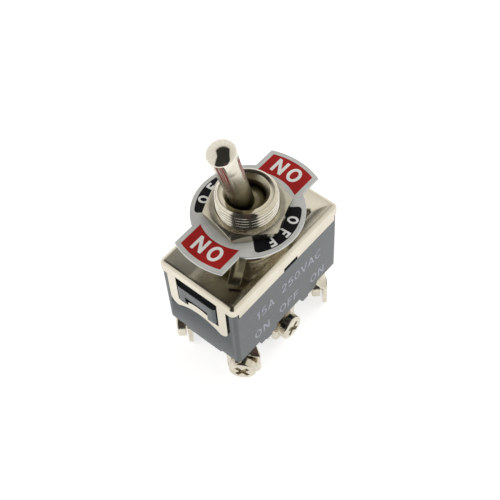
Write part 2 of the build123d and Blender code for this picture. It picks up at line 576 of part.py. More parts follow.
os.makedirs("parts", exist_ok=True)
save("housing", housing())
save("cover_frame", cover_frame())
save("insulator_sheet", insulator_sheet())
save("bushing", bushing())
save("lower_nut", hex_nut(LOWER_NUT_Z, LOWER_NUT_TURN))
save("locating_washer", locating_washer())
save("indicator_plate", indicator_plate())
save("upper_nut", hex_nut(PLATE_TOP, NUT_TURN))
save("lever", lever())
save("actuator_carrier", actuator_carrier())
for side_name, s in (("left", -1), ("right", 1)):
    save(f"plunger_{side_name}", plunger(s))
    save(f"plunger_spring_{side_name}", plunger_spring(s))
    save(f"contact_rocker_{side_name}", rocker(s))
    save(f"rocker_buttons_{side_name}", rocker_buttons(s))
save("fixed_buttons", fixed_buttons())
for name, (x, y) in TERMINALS.items():
    build = common_terminal if name.endswith("middle") else end_terminal
    save(f"terminal_{name}", build(x, y, SCREW_TURN[name], JOGGLE[name]))
save("terminal_screws", Compound(children=[terminal_screw(x, y, SCREW_TURN[name], JOGGLE[name])
                                           for name, (x, y) in TERMINALS.items()]))
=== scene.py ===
import math

import bmesh
import bpy
from mathutils import Matrix, Vector


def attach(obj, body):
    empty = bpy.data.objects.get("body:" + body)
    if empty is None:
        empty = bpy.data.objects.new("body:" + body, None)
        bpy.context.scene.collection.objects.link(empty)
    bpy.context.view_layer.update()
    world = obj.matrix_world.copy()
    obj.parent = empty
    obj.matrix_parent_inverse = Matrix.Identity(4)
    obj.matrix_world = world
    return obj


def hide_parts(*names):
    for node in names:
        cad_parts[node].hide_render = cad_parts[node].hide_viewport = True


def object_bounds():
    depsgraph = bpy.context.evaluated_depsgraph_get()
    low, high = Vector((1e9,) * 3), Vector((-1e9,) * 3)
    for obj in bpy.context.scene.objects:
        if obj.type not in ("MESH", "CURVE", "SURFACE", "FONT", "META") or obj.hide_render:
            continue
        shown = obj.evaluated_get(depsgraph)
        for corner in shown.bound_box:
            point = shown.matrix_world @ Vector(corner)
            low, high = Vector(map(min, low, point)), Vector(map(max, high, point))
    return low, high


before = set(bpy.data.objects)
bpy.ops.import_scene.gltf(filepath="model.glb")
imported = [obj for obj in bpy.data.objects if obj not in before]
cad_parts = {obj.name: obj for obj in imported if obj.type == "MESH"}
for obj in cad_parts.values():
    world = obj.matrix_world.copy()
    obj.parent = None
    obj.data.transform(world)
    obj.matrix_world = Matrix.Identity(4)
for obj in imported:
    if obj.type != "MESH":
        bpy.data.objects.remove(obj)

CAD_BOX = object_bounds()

# ---- Housing ----
# One phenolic moulding, near black and glossy, so that its walls show as grey where they mirror the
# bright table and as black where they face up. The cover latches on the lugs at its ends, and its ribs
# part the terminals below.
MM = 0.001                          # sizes are written in millimetres and scaled once, in the mesh
SHARP = math.radians(32)            # edges sharper than this are broken
FLUSH = math.radians(0.6)           # facets closer to flat than this are one face
GRAIN_DEPTH = 0.02 * MM


def link(name, mesh):
    piece = bpy.data.objects.new(name, mesh)
    bpy.context.scene.collection.objects.link(piece)
    return piece


def placed(piece, body, slot_name, material, *nodes):
    """Give a piece its finish and its body, and hide the CAD nodes that it stands for."""
    piece.data.materials.clear()
    piece.data.materials.append(material)
    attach(piece, body)
    if nodes:
        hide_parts(*nodes)
    return piece


def dressed(node, name, body, slot_name, material, edge=0.08, segments=2):
    """A copy of a CAD node with its facets merged and its sharp edges broken, standing for the node."""
    bm = bmesh.new()
    bm.from_mesh(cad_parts[node].data)
    bmesh.ops.remove_doubles(bm, verts=bm.verts, dist=0.002 * MM)
    bmesh.ops.dissolve_limit(bm, angle_limit=FLUSH, verts=bm.verts, edges=bm.edges)
    bmesh.ops.recalc_face_normals(bm, faces=bm.faces)
    mesh = bpy.data.meshes.new(name)
    bm.to_mesh(mesh)
    bm.free()
    mesh.shade_smooth()
    mesh.set_sharp_from_angle(angle=SHARP)
    piece = link(name, mesh)
    if edge:
        bevel = piece.modifiers.new("broken_edges", "BEVEL")
        bevel.width = edge * MM
        bevel.segments = segments
        bevel.limit_method = "ANGLE"
        bevel.angle_limit = SHARP
        bevel.harden_normals = True
    return placed(piece, body, slot_name, material, node)


def nodes_of(name):
    material = bpy.data.materials.new(name)
    material.use_nodes = True
    tree = material.node_tree
    coords = tree.nodes.new("ShaderNodeTexCoord")
    return material, tree, tree.nodes["Principled BSDF"], coords.outputs["Object"]


def noise_node(tree, coords, scale, detail, rough=0.6):
    texture = tree.nodes.new("ShaderNodeTexNoise")
    texture.inputs["Scale"].default_value = scale
    texture.inputs["Detail"].default_value = detail
    texture.inputs["Roughness"].default_value = rough
    tree.links.new(coords, texture.inputs["Vector"])
    return texture.outputs["Fac"]


def ramp_node(tree, value, stops):
    ramp = tree.nodes.new("ShaderNodeValToRGB")
    elements = ramp.color_ramp.elements
    while len(elements) < len(stops):
        elements.new(0.5)
    for element, (place, colour) in zip(elements, stops):
        element.position = place
        element.color = (*colour, 1.0)
    tree.links.new(value, ramp.inputs["Fac"])
    return ramp.outputs["Color"]


def range_node(tree, value, low, high, start=0.3, end=0.7):
    """Low at start, high at end, and held beyond them."""
    spread = tree.nodes.new("ShaderNodeMapRange")
    spread.inputs["From Min"].default_value = start
    spread.inputs["From Max"].default_value = end
    spread.inputs["To Min"].default_value = low
    spread.inputs["To Max"].default_value = high
    tree.links.new(value, spread.inputs["Value"])
    return spread.outputs["Result"]


def bump_node(tree, shader, coords, grain, strength):
    bump = tree.nodes.new("ShaderNodeBump")
    bump.inputs["Strength"].default_value = strength
    bump.inputs["Distance"].default_value = GRAIN_DEPTH
    tree.links.new(noise_node(tree, coords, grain, 3.0), bump.inputs["Height"])
    tree.links.new(bump.outputs["Normal"], shader.inputs["Normal"])


def finish(name, dark, light, metallic, rough, grain, bump, cloud=120.0, ior=1.5, painted_light_tint=(1.0, 1.0, 1.0)):
    """Two close colours over a cloud, roughness over the same cloud, and a bump over a fine grain."""
    material, tree, shader, coords = nodes_of(name)
    cloudy = noise_node(tree, coords, cloud, 5.0)
    tree.links.new(ramp_node(tree, cloudy, [(0.35, dark), (0.65, light)]), shader.inputs["Base Color"])
    tree.links.new(range_node(tree, cloudy, *rough), shader.inputs["Roughness"])
    shader.inputs["Metallic"].default_value = metallic
    shader.inputs["IOR"].default_value = ior
    shader.inputs["Specular Tint"].default_value = (*painted_light_tint, 1.0)
    bump_node(tree, shader, coords, grain, bump)
    return material


# Its reflections carry a faint blue tint that stands in for bluish light from one side: painted light.
PHENOLIC = finish("dark_phenolic", (0.012, 0.013, 0.014), (0.019, 0.020, 0.022), 0.0, (0.24, 0.32),
                  2600, 0.12, 220, ior=1.82, painted_light_tint=(0.86, 0.95, 1.0))
dressed("housing", "housing_moulding", "switch_body", "grey_phenolic", PHENOLIC, edge=0.10, segments=3)

# ---- Cover ----
# Steel sheet, drawn down on four sides and nickel plated: bright on top, its cut edges a little round.
# The windows in its end tabs latch over the housing's lugs.
SHEET_NICKEL = finish("nickelled_sheet", (0.62, 0.57, 0.46), (0.75, 0.70, 0.59), 1.0, (0.10, 0.22),
                      500, 0.14, 70)
dressed("cover_frame", "folded_cover", "switch_body", "nickelled_steel", SHEET_NICKEL, edge=0.06)

# ---- Insulator sheet ----
# Brown pressboard, punched out and laid under the cover, to keep the live rockers off the steel.
# None of it shows.
PRESSBOARD = finish("pressboard", (0.22, 0.14, 0.08), (0.34, 0.23, 0.14), 0.0, (0.7, 0.9), 2500, 0.6, 600)
dressed("insulator_sheet", "fibre_sheet", "switch_body", "pressboard", PRESSBOARD, edge=0.03)

# ---- Bushing ----
# Turned brass, nickel plated, its neck swaged over under the cover. A helical thread runs up to a
# chamfered first turn, and a dished mouth opens over the socket of the lever's ball.
SWAGE_R, SWAGE_BOTTOM = 6.5, -1.3
NECK_R, NECK_BOTTOM = 5.35, -0.6
COLLAR_R, COLLAR_TOP, COLLAR_EDGE = 6.9, 1.0, 0.12
THREAD_R, THREAD_PITCH, THREAD_DEPTH = 5.93, 0.78, 0.42
THREAD_RUN_IN = 0.8                 # height over which the thread deepens from the collar
THREAD_START_IN = 0.25
FLANK_SLOPE, CREST_FLAT = 1.35, 0.2     # steeper than a plain V, and the share of it left flat
CHAMFER_CUT = 0.25                  # share of the groove that still shows on the chamfer
THREAD_ROWS = 12                    # rows of points in one pitch
TOP, TOP_CHAMFER = 12.4, 0.6
MOUTH_R, MOUTH_EDGE, MOUTH_DROP = 4.35, 0.06, 0.9
LIP_R, LIP_EDGE = 3.65, 0.05
PIVOT_Z, SOCKET_R, SOCKET_ROWS = 6.1, 5.25, 12
FOOT_BORE_R = 4.5
BUSHING_STEPS = 144
GROOVE_SHADE_IN, CREST_IN = 0.36, 0.10   # in from the crest: where the painted shade in the groove is full, and where the crest is bright


def thread_radius(z, angle):
    """V thread with one start, its crests and roots a little flat."""
    phase = (z / THREAD_PITCH - angle / (2 * math.pi)) % 1.0
    depth = min(1.0, max(0.0, abs(2 * phase - 1) * FLANK_SLOPE - CREST_FLAT))
    fade = min(1.0, max(0.0, (z - COLLAR_TOP) / THREAD_RUN_IN))
    cut = THREAD_DEPTH * depth * fade
    return min(THREAD_R - cut, THREAD_R - CHAMFER_CUT * cut - max(0.0, z - TOP + TOP_CHAMFER))


def ring_grid(bm, rows):
    """Skin a list of equal rings of points, the last one joined to the first."""
    made = [[bm.verts.new(p) for p in row] for row in rows]
    for low, high in zip(made, made[1:] + made[:1]):
        for i, (a, b) in enumerate(zip(low, high)):
            j = (i + 1) % len(low)
            bm.faces.new((a, low[j], high[j], b))


def from_bmesh(name, bm, sharp):
    """Finish a bmesh in millimetres as a mesh object in metres, smooth but for its sharp edges."""
    bmesh.ops.recalc_face_normals(bm, faces=bm.faces)
    bm.transform(Matrix.Scale(MM, 4))
    mesh = bpy.data.meshes.new(name)
    bm.to_mesh(mesh)
    bm.free()
    mesh.shade_smooth()
    mesh.set_sharp_from_angle(angle=math.radians(sharp))
    return link(name, mesh)


def threaded_bushing():
    angles = [2 * math.pi * i / BUSHING_STEPS for i in range(BUSHING_STEPS)]
    socket_half = math.sqrt(SOCKET_R ** 2 - LIP_R ** 2)

    def ring(radius_at, z):
        return [(radius_at(a) * math.cos(a), radius_at(a) * math.sin(a), z) for a in angles]

    def round_rings(points):
        return [ring(lambda a, r=r: r, z) for r, z in points]

    rows = round_rings([
        (SWAGE_R, SWAGE_BOTTOM), (SWAGE_R, NECK_BOTTOM), (NECK_R, NECK_BOTTOM), (NECK_R, 0.0),
        (COLLAR_R, 0.0), (COLLAR_R, COLLAR_TOP - COLLAR_EDGE), (COLLAR_R - COLLAR_EDGE, COLLAR_TOP),
        (THREAD_R - THREAD_START_IN, COLLAR_TOP)])
    z = COLLAR_TOP
    while z < TOP - 0.01:
        z = min(z + THREAD_PITCH / THREAD_ROWS, TOP)
        rows.append(ring(lambda a: thread_radius(z, a), z))
    rows += round_rings([
        (THREAD_R - TOP_CHAMFER - 0.1, TOP), (MOUTH_R + 0.08, TOP), (MOUTH_R, TOP - MOUTH_EDGE),
        (LIP_R + LIP_EDGE, TOP - MOUTH_DROP), (LIP_R, TOP - MOUTH_DROP - 0.08),
        (LIP_R, PIVOT_Z + socket_half)])
    slopes = [math.asin(socket_half / SOCKET_R) * (1 - 2 * i / SOCKET_ROWS) for i in range(1, SOCKET_ROWS)]
    rows += round_rings([(SOCKET_R * math.cos(a), PIVOT_Z + SOCKET_R * math.sin(a)) for a in slopes])
    rows += round_rings([(LIP_R, PIVOT_Z - socket_half), (LIP_R, 0.0), (FOOT_BORE_R, SWAGE_BOTTOM)])
    bm = bmesh.new()
    ring_grid(bm, rows)
    return from_bmesh("threaded_bushing", bm, 50)


def math_node(tree, kind, a, b=None, c=None, clamp=False):
    node = tree.nodes.new("ShaderNodeMath")
    node.operation = kind
    node.use_clamp = clamp
    for socket, value in zip(node.inputs, (a, b, c)):
        if value is None:
            continue
        if isinstance(value, (int, float)):
            socket.default_value = value
        else:
            tree.links.new(value, socket)
    return node.outputs[0]


def shaded_thread_nickel():
    """Bright crests over grooves darkened with painted shade."""
    material, tree, shader, coords = nodes_of("nickelled_thread_painted_shade")
    flat = tree.nodes.new("ShaderNodeVectorMath")
    flat.operation = "MULTIPLY"
    tree.links.new(coords, flat.inputs[0])
    flat.inputs[1].default_value = (1.0, 1.0, 0.0)
    reach = tree.nodes.new("ShaderNodeVectorMath")
    reach.operation = "LENGTH"
    tree.links.new(flat.outputs["Vector"], reach.inputs[0])
    cloud = noise_node(tree, coords, 700.0, 4.0)
    # The colour darkens from the crests into the grooves: painted shade.
    crest = range_node(tree, reach.outputs["Value"], 0.0, 1.0,
                       (THREAD_R - GROOVE_SHADE_IN) * MM, (THREAD_R - CREST_IN) * MM)
    crest = math_node(tree, "ADD", crest, range_node(tree, cloud, -0.15, 0.15), clamp=True)
    colour = ramp_node(tree, crest, [
        (0.0, (0.13, 0.12, 0.08)), (0.5, (0.48, 0.44, 0.34)), (1.0, (0.80, 0.76, 0.67))])
    tree.links.new(colour, shader.inputs["Base Color"])
    tree.links.new(math_node(tree, "MULTIPLY_ADD", crest, -0.20, 0.32), shader.inputs["Roughness"])
    shader.inputs["Metallic"].default_value = 1.0
    bump_node(tree, shader, coords, 900, 0.15)
    return material


# The mouth takes a darker copy of the nickel: painted shade inside the bore.
MOUTH_NICKEL_SHADED = finish("nickel_painted_shade", (0.36, 0.33, 0.23), (0.56, 0.52, 0.41), 1.0, (0.26, 0.40), 900, 0.15)
RIM_NICKEL = finish("bright_nickel", (0.60, 0.54, 0.42), (0.75, 0.70, 0.59), 1.0, (0.07, 0.20), 900, 0.12)
bushing = placed(threaded_bushing(), "switch_body", "nickelled_brass", shaded_thread_nickel(), "bushing")
bushing.data.materials.append(MOUTH_NICKEL_SHADED)
bushing.data.materials.append(RIM_NICKEL)
# Faces inside the mouth get the painted shade, the rim and chamfer plain bright nickel, the rest the thread's
# finish.
for face in bushing.data.polygons:
    middle = face.center / MM
    in_mouth = math.hypot(middle.x, middle.y) < MOUTH_R
    on_rim = middle.z > TOP - TOP_CHAMFER * 0.9
    face.material_index = 1 if in_mouth else 2 if on_rim else 0

# ---- Nuts ----
# Two thin hexagon nuts, parted from steel bar and nickel plated. Both faces are chamfered, so that each
# flank ends in shallow curves. They clamp the washer and the plate between them on the thread.
NUT_AF, NUT_H, NUT_DROP = 14.7, 2.0, 0.65
NUT_CORNER_OFF = 0.07               # corners are a little blunt
NUT_EDGE = 0.06
NUT_FACE_IN, NUT_FACE_OUT = 0.45, 0.18  # in from the flats, where the face starts to turn and the cut begins
NUT_BORE_IN, NUT_SINK_OUT, NUT_SINK_DEPTH = 0.18, 0.12, 0.3
FLANK_STEPS = 26
PLATE_TOP, PLATE_T, WASHER_T = 6.87, 0.5, 0.7
LOWER_NUT_Z = PLATE_TOP - PLATE_T - WASHER_T - NUT_H
LOWER_NUT_TURN, UPPER_NUT_TURN = 41.0, 19.8


def hexagon_nut(name, z0, turn):
    flat, corner = NUT_AF / 2, NUT_AF / math.sqrt(3)
    steps = 6 * FLANK_STEPS
    angles = [math.radians(turn) + 2 * math.pi * i / steps for i in range(steps)]

    def hexagon(a):
        local = (a - math.radians(turn)) % (math.pi / 3) - math.pi / 6
        return min(flat / math.cos(local), corner - NUT_CORNER_OFF)

    def chamfer(a):
        return NUT_DROP * max(0.0, (hexagon(a) - flat) / (corner - flat))

    def ring(radius_at, height_at):
        return [(radius_at(a) * math.cos(a), radius_at(a) * math.sin(a), height_at(a)) for a in angles]

    def round_ring(r, z):
        return ring(lambda a: r, lambda a: z)

    def inset_hexagon(a):
        return hexagon(a) - NUT_EDGE

    top = z0 + NUT_H
    bore, sink = THREAD_R - NUT_BORE_IN, THREAD_R + NUT_SINK_OUT
    bm = bmesh.new()
    ring_grid(bm, [
        round_ring(bore, z0 + NUT_SINK_DEPTH), round_ring(bore, top - NUT_SINK_DEPTH),
        round_ring(sink, top), round_ring(flat - NUT_FACE_IN, top),
        round_ring(flat - NUT_FACE_OUT, top - 0.02),
        ring(inset_hexagon, lambda a: top - chamfer(a) - 0.03),
        ring(hexagon, lambda a: top - chamfer(a) - 0.10),
        ring(hexagon, lambda a: z0 + chamfer(a) + 0.10),
        ring(inset_hexagon, lambda a: z0 + chamfer(a) + 0.03),
        round_ring(flat - NUT_FACE_OUT, z0 + 0.02),
        round_ring(flat - NUT_FACE_IN, z0), round_ring(sink, z0)])
    return from_bmesh(name, bm, 24)


NUT_NICKEL = finish("nickelled_nut", (0.44, 0.41, 0.32), (0.60, 0.56, 0.46), 1.0, (0.16, 0.32),
                    700, 0.25, 200)
for name, z0, turn, node in (("back_nut", LOWER_NUT_Z, LOWER_NUT_TURN, "lower_nut"),
                             ("front_nut", PLATE_TOP, UPPER_NUT_TURN, "upper_nut")):
    placed(hexagon_nut(name, z0, turn), "switch_body", "nickelled_steel", NUT_NICKEL, node)

# ---- Locating washer ----
# Stamped steel ring, nickel plated, and coloured a dark olive that darkens it as painted shade. One tab is
# sheared and turned down, to find a hole in the panel.
SHADED_OLIVE_NICKEL = finish("olive_nickel_painted_shade", (0.17, 0.15, 0.09), (0.34, 0.31, 0.20), 1.0, (0.24, 0.42), 500, 0.25)
dressed("locating_washer", "tab_washer", "switch_body", "nickelled_steel", SHADED_OLIVE_NICKEL, edge=0.07)

# ---- Indicator plate ----
# Stamped aluminium sheet with a matt face: a disc with two wide tabs. Two red fields and two black bands
# are printed on it, the border and the letters are left bare, and its cut edge is bright.
PLATE_R, PLATE_TAB_R, PLATE_TAB_HALF, PLATE_HOLE_R = 10.8, 15.0, 5.68, 6.05
PLATE_EDGE, HOLE_EDGE = 0.07, 0.05
PLATE_STEPS = 240
RED_NEAR, RED_FAR, RED_HALF, RED_FROM_X = 9.2, 14.1, 4.7, 5.5
BAND_IN, BAND_OUT, BAND_HALF_ANGLE, BAND_ROUND = 7.0, 9.95, 42.5, 0.7
PRINT_SOFT = 0.03


def plate_outline(a):
    rise = abs(math.sin(a))
    if rise * PLATE_TAB_R <= PLATE_TAB_HALF:
        return PLATE_TAB_R
    return max(PLATE_R, PLATE_TAB_HALF / rise)


def flat_plate():
    first_corners = [math.asin(PLATE_TAB_HALF / PLATE_TAB_R), math.asin(PLATE_TAB_HALF / PLATE_R)]
    corners = [c for k in first_corners for c in (k, math.pi - k, math.pi + k, 2 * math.pi - k)]
    angles = sorted([2 * math.pi * i / PLATE_STEPS for i in range(PLATE_STEPS)] + corners)
    angles = [a for i, a in enumerate(angles) if i == 0 or a - angles[i - 1] > 1e-4]

    def ring(radius_at, z):
        return [(radius_at(a) * math.cos(a), radius_at(a) * math.sin(a), z) for a in angles]

    def hole(outset, z):
        return ring(lambda a: PLATE_HOLE_R + outset, z)

    def outline(inset, z):
        return ring(lambda a: plate_outline(a) - inset, z)

    low = PLATE_TOP - PLATE_T
    bm = bmesh.new()
    ring_grid(bm, [
        hole(0.0, low + HOLE_EDGE), hole(0.0, PLATE_TOP - HOLE_EDGE), hole(HOLE_EDGE, PLATE_TOP),
        outline(PLATE_EDGE, PLATE_TOP), outline(0.0, PLATE_TOP - PLATE_EDGE),
        outline(0.0, low + HOLE_EDGE), outline(HOLE_EDGE, low), hole(HOLE_EDGE, low)])
    return from_bmesh("printed_plate", bm, 30)


def below(tree, value, edge, soft):
    """One under an edge, falling to zero over a soft band round it."""
    return range_node(tree, value, 1.0, 0.0, edge - soft, edge + soft)


def above(tree, value, edge, soft):
    return range_node(tree, value, 0.0, 1.0, edge - soft, edge + soft)


def times(tree, *values):
    product = values[0]
    for value in values[1:]:
        product = math_node(tree, "MULTIPLY", product, value)
    return product


def red_fields(tree, x, y, r):
    """One field on each tab: between two arcs, and between two lines along the tab."""
    soft = PRINT_SOFT * MM
    return times(tree, above(tree, r, RED_NEAR * MM, soft), below(tree, r, RED_FAR * MM, soft),
                 below(tree, y, RED_HALF * MM, soft), above(tree, x, RED_FROM_X * MM, 0.5 * MM))


def black_bands(tree, x, y, r):
    """One band across each side of the disc: bent boxes with round corners."""
    soft, centre = PRINT_SOFT * MM, (BAND_IN + BAND_OUT) / 2
    arc_length = math_node(tree, "MULTIPLY", math_node(tree, "ARCTAN2", x, y), centre * MM)
    half_length = math.radians(BAND_HALF_ANGLE) * centre - BAND_ROUND
    along = math_node(tree, "SUBTRACT", arc_length, half_length * MM)
    off_centre = math_node(tree, "ABSOLUTE", math_node(tree, "SUBTRACT", r, centre * MM))
    across = math_node(tree, "SUBTRACT", off_centre, ((BAND_OUT - BAND_IN) / 2 - BAND_ROUND) * MM)
    past = [math_node(tree, "POWER", math_node(tree, "MAXIMUM", v, 0.0), 2.0) for v in (along, across)]
    reach = math_node(tree, "SQRT", math_node(tree, "ADD", *past))
    return below(tree, reach, BAND_ROUND * MM, soft)


def printed_aluminium():
    material, tree, shader, coords = nodes_of("printed_aluminium")
    axes = tree.nodes.new("ShaderNodeSeparateXYZ")
    tree.links.new(coords, axes.inputs[0])
    x, y, z = axes.outputs
    r = math_node(tree, "SQRT", math_node(tree, "ADD", times(tree, x, x), times(tree, y, y)))
    x, y = math_node(tree, "ABSOLUTE", x), math_node(tree, "ABSOLUTE", y)
    face = above(tree, z, (PLATE_TOP - 0.03) * MM, 0.01 * MM)
    red = times(tree, red_fields(tree, x, y, r), face)
    black = times(tree, black_bands(tree, x, y, r), face)
    cloud = noise_node(tree, coords, 260.0, 5.0)
    colour = ramp_node(tree, cloud, [(0.35, (0.52, 0.52, 0.51)), (0.65, (0.62, 0.62, 0.60))])
    red_ink = ramp_node(tree, cloud, [(0.35, (0.29, 0.011, 0.011)), (0.65, (0.36, 0.016, 0.014))])
    black_ink = ramp_node(tree, cloud, [(0.35, (0.004, 0.004, 0.005)), (0.65, (0.008, 0.008, 0.010))])
    for mask, ink in ((red, red_ink), (black, black_ink)):
        mix = tree.nodes.new("ShaderNodeMix")
        mix.data_type = "RGBA"
        tree.links.new(mask, mix.inputs["Factor"])
        tree.links.new(colour, mix.inputs["A"])
        tree.links.new(ink, mix.inputs["B"])
        colour = mix.outputs["Result"]
    tree.links.new(colour, shader.inputs["Base Color"])
    bare = math_node(tree, "SUBTRACT", 1.0, math_node(tree, "ADD", red, black, clamp=True))
    cut_edge = math_node(tree, "SUBTRACT", 1.0, face)
    metallic = math_node(tree, "MULTIPLY_ADD", cut_edge, 0.75, math_node(tree, "MULTIPLY", bare, 0.25))
    tree.links.new(metallic, shader.inputs["Metallic"])
    tree.links.new(math_node(tree, "MULTIPLY_ADD", bare, 0.4, 0.1), shader.inputs["Specular IOR Level"])
    rough = math_node(tree, "MULTIPLY_ADD", cut_edge, -0.25, range_node(tree, cloud, 0.42, 0.54))
    tree.links.new(rough, shader.inputs["Roughness"])
    bump_node(tree, shader, coords, 2200, 0.2)
    return material


placed(flat_plate(), "switch_body", "plain_aluminium", printed_aluminium(), "indicator_plate")

# ---- Plate letters ----
# ON at both ends and OFF in the middle: bare metal left in the plate's print, in thin strokes of even
# width. Each letter is drawn from straight and round strokes.
STROKE_DEPTH = 0.012
ON_H, ON_W, ON_GAP = 3.3, 0.64, 0.95
OFF_H, OFF_W, OFF_GAP, OFF_BASE_R = 2.05, 0.44, 1.9, 7.65


def arc(cx, cy, rx, ry, start, end, count):
    turns = [math.radians(start + (end - start) * i / count) for i in range(count + 1)]
    return [(cx + rx * math.cos(a), cy + ry * math.sin(a)) for a in turns]


# letters in a box 1 high; each is its width and its strokes, lists of points
LETTERS = {
    "O": (0.78, [arc(0.39, 0.5, 0.31, 0.42, 0, 360, 40)]),
    "N": (0.72, [[(0.08, 0.0), (0.08, 1.0)], [(0.08, 0.96), (0.64, 0.04)], [(0.64, 0.0), (0.64, 1.0)]]),
    "F": (0.58, [[(0.08, 0.0), (0.08, 1.0)], [(0.08, 0.92), (0.56, 0.92)], [(0.08, 0.50), (0.50, 0.50)]]),
    "V": (0.70, [[(0.04, 1.0), (0.35, 0.02)], [(0.66, 1.0), (0.35, 0.02)]]),
    "A": (0.72, [[(0.04, 0.0), (0.36, 0.98)], [(0.68, 0.0), (0.36, 0.98)], [(0.16, 0.30), (0.56, 0.30)]]),
    "C": (0.74, [arc(0.41, 0.5, 0.33, 0.42, 45, 315, 30)]),
    "1": (0.42, [[(0.26, 0.0), (0.26, 1.0)], [(0.26, 0.92), (0.06, 0.74)]]),
    "5": (0.62, [[(0.54, 0.92), (0.14, 0.92)], [(0.14, 0.92), (0.10, 0.50)],
                 [(0.10, 0.52)] + arc(0.29, 0.33, 0.25, 0.26, 110, -145, 22)]),
    "2": (0.62, [arc(0.30, 0.69, 0.22, 0.23, 165, -40, 18) + [(0.08, 0.08)], [(0.05, 0.08), (0.56, 0.08)]]),
    "0": (0.66, [arc(0.33, 0.5, 0.25, 0.42, 0, 360, 40)]),
}


def stroke(bm, points, width, place, lift):
    """A flat bar along a line; place maps letter (x, y) and a lift of 0 to 1 to space."""
    closed = math.dist(points[0], points[-1]) < 1e-6
    line = points[:-1] if closed else points
    rings = []
    for i, (x, y) in enumerate(line):
        before = line[i - 1] if closed or i else line[i]
        after = line[(i + 1) % len(line)] if closed or i < len(line) - 1 else line[i]
        dx, dy = after[0] - before[0], after[1] - before[1]
        size = math.hypot(dx, dy)
        nx, ny = -dy / size * width / 2, dx / size * width / 2
        corners = ((x + nx, y + ny, 0), (x - nx, y - ny, 0), (x - nx, y - ny, lift), (x + nx, y + ny, lift))
        rings.append([bm.verts.new(place(*corner)) for corner in corners])
    for a, b in list(zip(rings, rings[1:])) + ([(rings[-1], rings[0])] if closed else []):
        for k in range(4):
            bm.faces.new((a[k], a[(k + 1) % 4], b[(k + 1) % 4], b[k]))
    if not closed:
        bm.faces.new(rings[0])
        bm.faces.new(list(reversed(rings[-1])))


def lettering(name, slot_name, material, jobs):
    """jobs are (text, height, stroke width, gap, place); crossing strokes lie in layers."""
    bm = bmesh.new()
    for text, height, width, gap, place in jobs:
        x = -(sum(LETTERS[c][0] for c in text) * height + gap * (len(text) - 1)) / 2
        for c in text:
            advance, strokes = LETTERS[c]
            for layer, points in enumerate(strokes):
                scaled = [(x + px * height, py * height) for px, py in points]
                stroke(bm, scaled, width, place, 1.0 - 0.2 * layer)
            x += advance * height + gap
    return placed(from_bmesh(name, bm, 30), "switch_body", slot_name, material)


def on_tab(cx, cy):
    """Letters lying on the plate, their base at (cx, cy) and their tops towards -X."""
    def place(u, v, d):
        return Vector((cx - v, cy + u, PLATE_TOP + STROKE_DEPTH * (2 * d - 1)))
    return place


def on_band(middle):
    """Letters standing along a round band, tops outward, reading clockwise."""
    def place(u, v, d):
        a = math.radians(middle) - u / (OFF_BASE_R + OFF_H / 2)
        r = OFF_BASE_R + v
        return Vector((r * math.cos(a), r * math.sin(a), PLATE_TOP + STROKE_DEPTH * (2 * d - 1)))
    return place


BARE_METAL = finish("bare_aluminium", (0.70, 0.70, 0.68), (0.80, 0.80, 0.78), 0.15, (0.45, 0.55),
                    2500, 0.2, 500)
lettering("plate_letters", "plain_aluminium", BARE_METAL, [
    ("ON", ON_H, ON_W, ON_GAP, on_tab(-9.64, -0.15)),
    ("ON", ON_H, ON_W, ON_GAP, on_tab(13.25, 0.0)),
    ("OFF", OFF_H, OFF_W, OFF_GAP, on_band(-88.3)),
    ("OFF", OFF_H, OFF_W, OFF_GAP, on_band(91.7))])

# ---- Side letters ----
# Pale ink, printed on the housing's long side a little askew: the rating over the names of the lever's
# three places.
SIDE_Y = -9.25
SIDE_H, SIDE_W = 2.6, 0.37


def on_side(cx, cz, slope):
    def place(u, v, d):
        return Vector((cx + u, SIDE_Y - STROKE_DEPTH * (2 * d - 1), cz + v + u * slope))
    return place


PALE_INK = finish("pale_ink", (0.42, 0.45, 0.53), (0.50, 0.53, 0.61), 0.0, (0.5, 0.6), 2500, 0.2, 900)
lettering("side_letters", "grey_phenolic", PALE_INK, [
    (text, SIDE_H, SIDE_W, gap, on_side(x, z, slope)) for text, gap, x, z, slope in (
        ("15A", 0.34, -6.95, -11.2, -0.02), ("250VAC", 0.36, 4.15, -10.9, -0.045),
        ("ON", 0.5, -8.2, -17.2, -0.07), ("OFF", 0.42, 0.1, -17.2, -0.06), ("ON", 0.5, 9.1, -17.9, -0.05))])

# ---- Lever ----
# Bat handle turned from brass, nickel plated and polished, widening towards a low crown. Its ball turns
# in the bushing, and its stem is riveted over under the carrier.
LEAN = 13.8                         # degrees from upright, in the place shown
BALL_R, BALL_ROWS = 5.15, 32
STEM_R, STEM_END = 1.9, -15.4
RIVET_R, RIVET_H, RIVET_EDGE = 2.6, 0.5, 0.1
BAT = [(4.4, 2.20), (8.0, 2.22), (12.0, 2.30), (18.0, 2.47), (22.6, 2.71)]   # height, radius
FOOT_H, BAT_START, BAT_STEP = 4.0, 4.9, 0.2
CROWN, CROWN_EDGE, CROWN_ROWS = 0.89, 0.16, 14
LEVER_STEPS = 96
# heights where the lever's painted shade is full, and where it is gone
SHADE_FULL_BELOW, SHADE_GONE_ABOVE = 15.0, 28.0


def bat_radius(h):
    for (h0, r0), (h1, r1) in zip(BAT, BAT[1:]):
        if h <= h1:
            return r0 + (r1 - r0) * (h - h0) / (h1 - h0)
    return BAT[-1][1]


